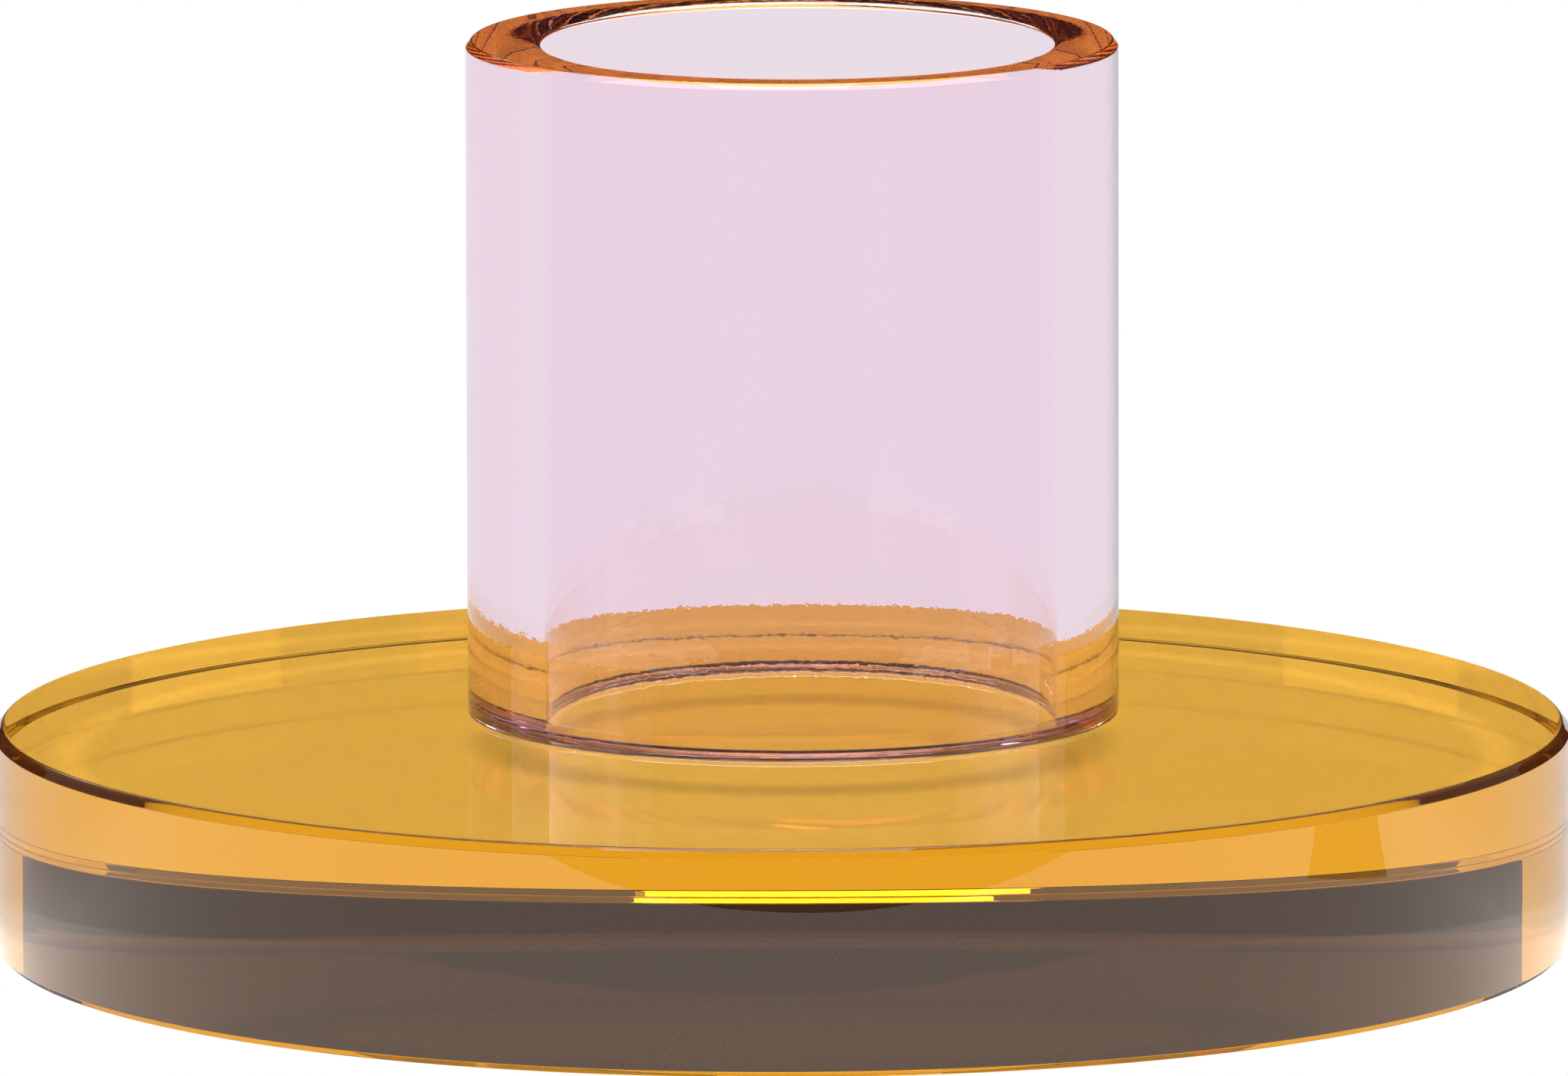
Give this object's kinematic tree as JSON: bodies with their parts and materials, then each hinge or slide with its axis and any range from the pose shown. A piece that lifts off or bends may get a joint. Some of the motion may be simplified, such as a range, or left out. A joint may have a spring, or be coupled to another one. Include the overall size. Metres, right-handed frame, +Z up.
{
  "type": "glass candlestick",
  "caption": "Low candlestick: a thick-walled upright glass tube socket bonded on a solid round glass base disc with polished chamfered edges.",
  "frame": {"origin": "centre of the base disc's underside, where it meets the table", "axes": "+Z up along the socket's bore, +Y from the front towards the side that the tube is set back to, +X to the right seen from the front"},
  "size_m": [0.07, 0.07, 0.0402],
  "materials": {
    "amber_glass": "clear amber glass, ground and polished on every face",
    "pink_glass": "clear pale pink drawn glass tube with ground ends",
    "clear_adhesive": "clear cured glass adhesive, glossy"
  },
  "bodies": {
    "root": {"base_disc": "amber_glass", "candle_tube": "pink_glass", "bond_ring": "clear_adhesive"}
  },
  "joints": []
}
